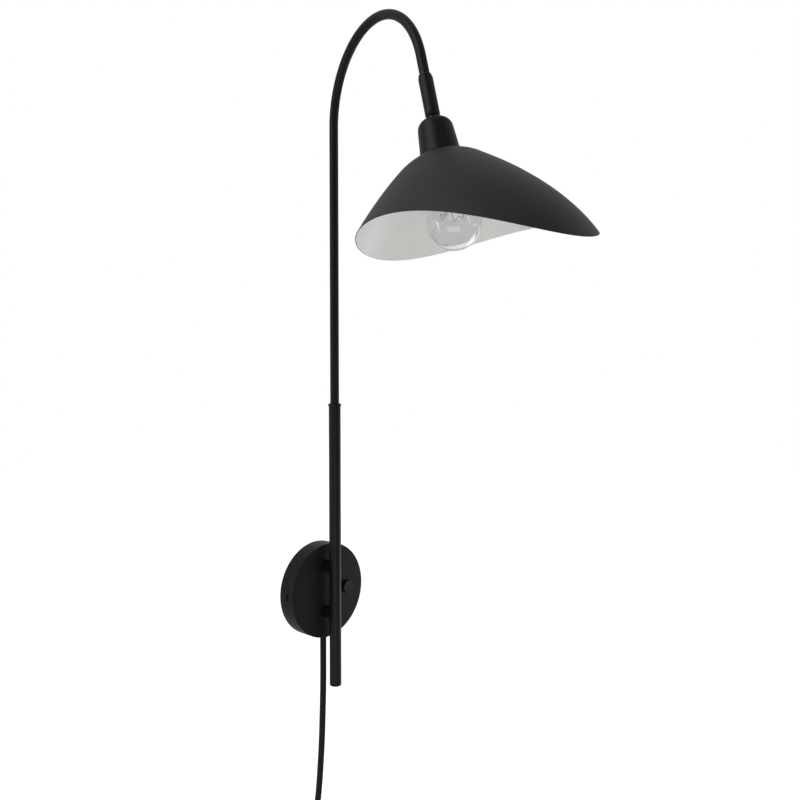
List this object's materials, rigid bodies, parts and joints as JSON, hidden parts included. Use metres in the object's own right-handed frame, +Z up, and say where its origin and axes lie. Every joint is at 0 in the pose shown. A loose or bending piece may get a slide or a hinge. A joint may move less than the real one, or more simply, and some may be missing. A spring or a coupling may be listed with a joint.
{
  "type": "hanging pendant wall sconce",
  "caption": "Black wall lamp: an arched tube turns in an upright on a round back plate and hangs a saddle-rimmed shade on a ball joint.",
  "frame": {"origin": "centre of the back plate's wall bracket, on the wall's face", "axes": "+Z up, the wall is the plane Y = 0 and the lamp stands out towards -Y, +X to the right seen from the front"},
  "size_m": [0.2595, 0.4976, 1.2569],
  "materials": {
    "black_paint": "matte",
    "steel": "satin",
    "brass": "satin",
    "black_plastic": "matte",
    "white_plastic": "matte",
    "textile": "matte",
    "core_plastic": "satin",
    "clear_glass": "gloss",
    "tungsten": "satin",
    "tie_rubber": "matte"
  },
  "bodies": {
    "wall_side": {"wall_bracket": "steel", "back_plate": "black_paint", "side_screws": "black_paint", "upper_post": "black_paint", "lower_post": "black_paint", "post_nipple": "brass", "nipple_nut": "steel", "post_screw": "steel", "tube_slug": "steel", "lower_tube": "black_paint", "upper_tube": "black_paint", "end_plug": "black_paint", "joining_spigot": "steel", "collar": "black_paint", "collar_bush": "brass", "lower_bush": "brass", "thrust_washer": "brass", "stop_screw": "steel", "switch_housing": "black_plastic", "switch_body": "white_plastic", "terminal_block": "white_plastic", "earth_screw": "brass", "switch_leads": "core_plastic", "cord_gland": "black_plastic", "gland_nut": "black_plastic", "cord_clamp": "white_plastic", "cord_inner_end": "textile", "mains_cores": "core_plastic", "lead_base": "core_plastic", "supply_cord": "textile", "cord_coil": "textile", "cord_tail": "textile", "cord_tie": "tie_rubber", "plug_body": "black_plastic", "plug_pins": "brass"},
    "arm": {"arched_tube": "black_paint", "sleeve_top_nut": "black_paint", "swivel_sleeve": "black_paint", "disc_springs": "steel", "lead_arm": "core_plastic"},
    "swivel": {"pressure_pad": "brass"},
    "head": {"ball_stud": "steel", "cap": "black_paint", "lock_nut": "steel", "shade": "black_paint", "shade_ring": "white_plastic", "holder_cap": "black_plastic", "holder_skirt": "black_plastic", "holder_contacts": "brass", "bulb_glass": "clear_glass", "bulb_cap": "steel", "bulb_stem": "clear_glass", "filament": "tungsten", "lead_shade": "core_plastic"},
    "button": {"push_button": "black_plastic"}
  },
  "joints": [
    {"name": "arm_swing", "type": "hinge", "parent": "wall_side", "child": "arm", "pos_m": [0, -0.0397, 0.252], "axis": [0, 0, 1], "range_deg": [-60, 90]},
    {"name": "shade_turn", "type": "hinge", "parent": "arm", "child": "swivel", "pos_m": [-0.06187, -0.27061, 0.59403], "axis": [-0.0789, -0.2945, -0.9524], "range_deg": [-170, 170]},
    {"name": "shade_nod", "type": "hinge", "parent": "swivel", "child": "head", "pos_m": [-0.06187, -0.27061, 0.59403], "axis": [-0.9659, 0.2588, 0], "range_deg": [-16, 16]},
    {"name": "switch_press", "type": "slide", "parent": "wall_side", "child": "button", "axis": [0, 1, 0], "range_m": [0, 0.0025], "stiffness_N_per_m": 400, "springref_m": -0.001}
  ]
}
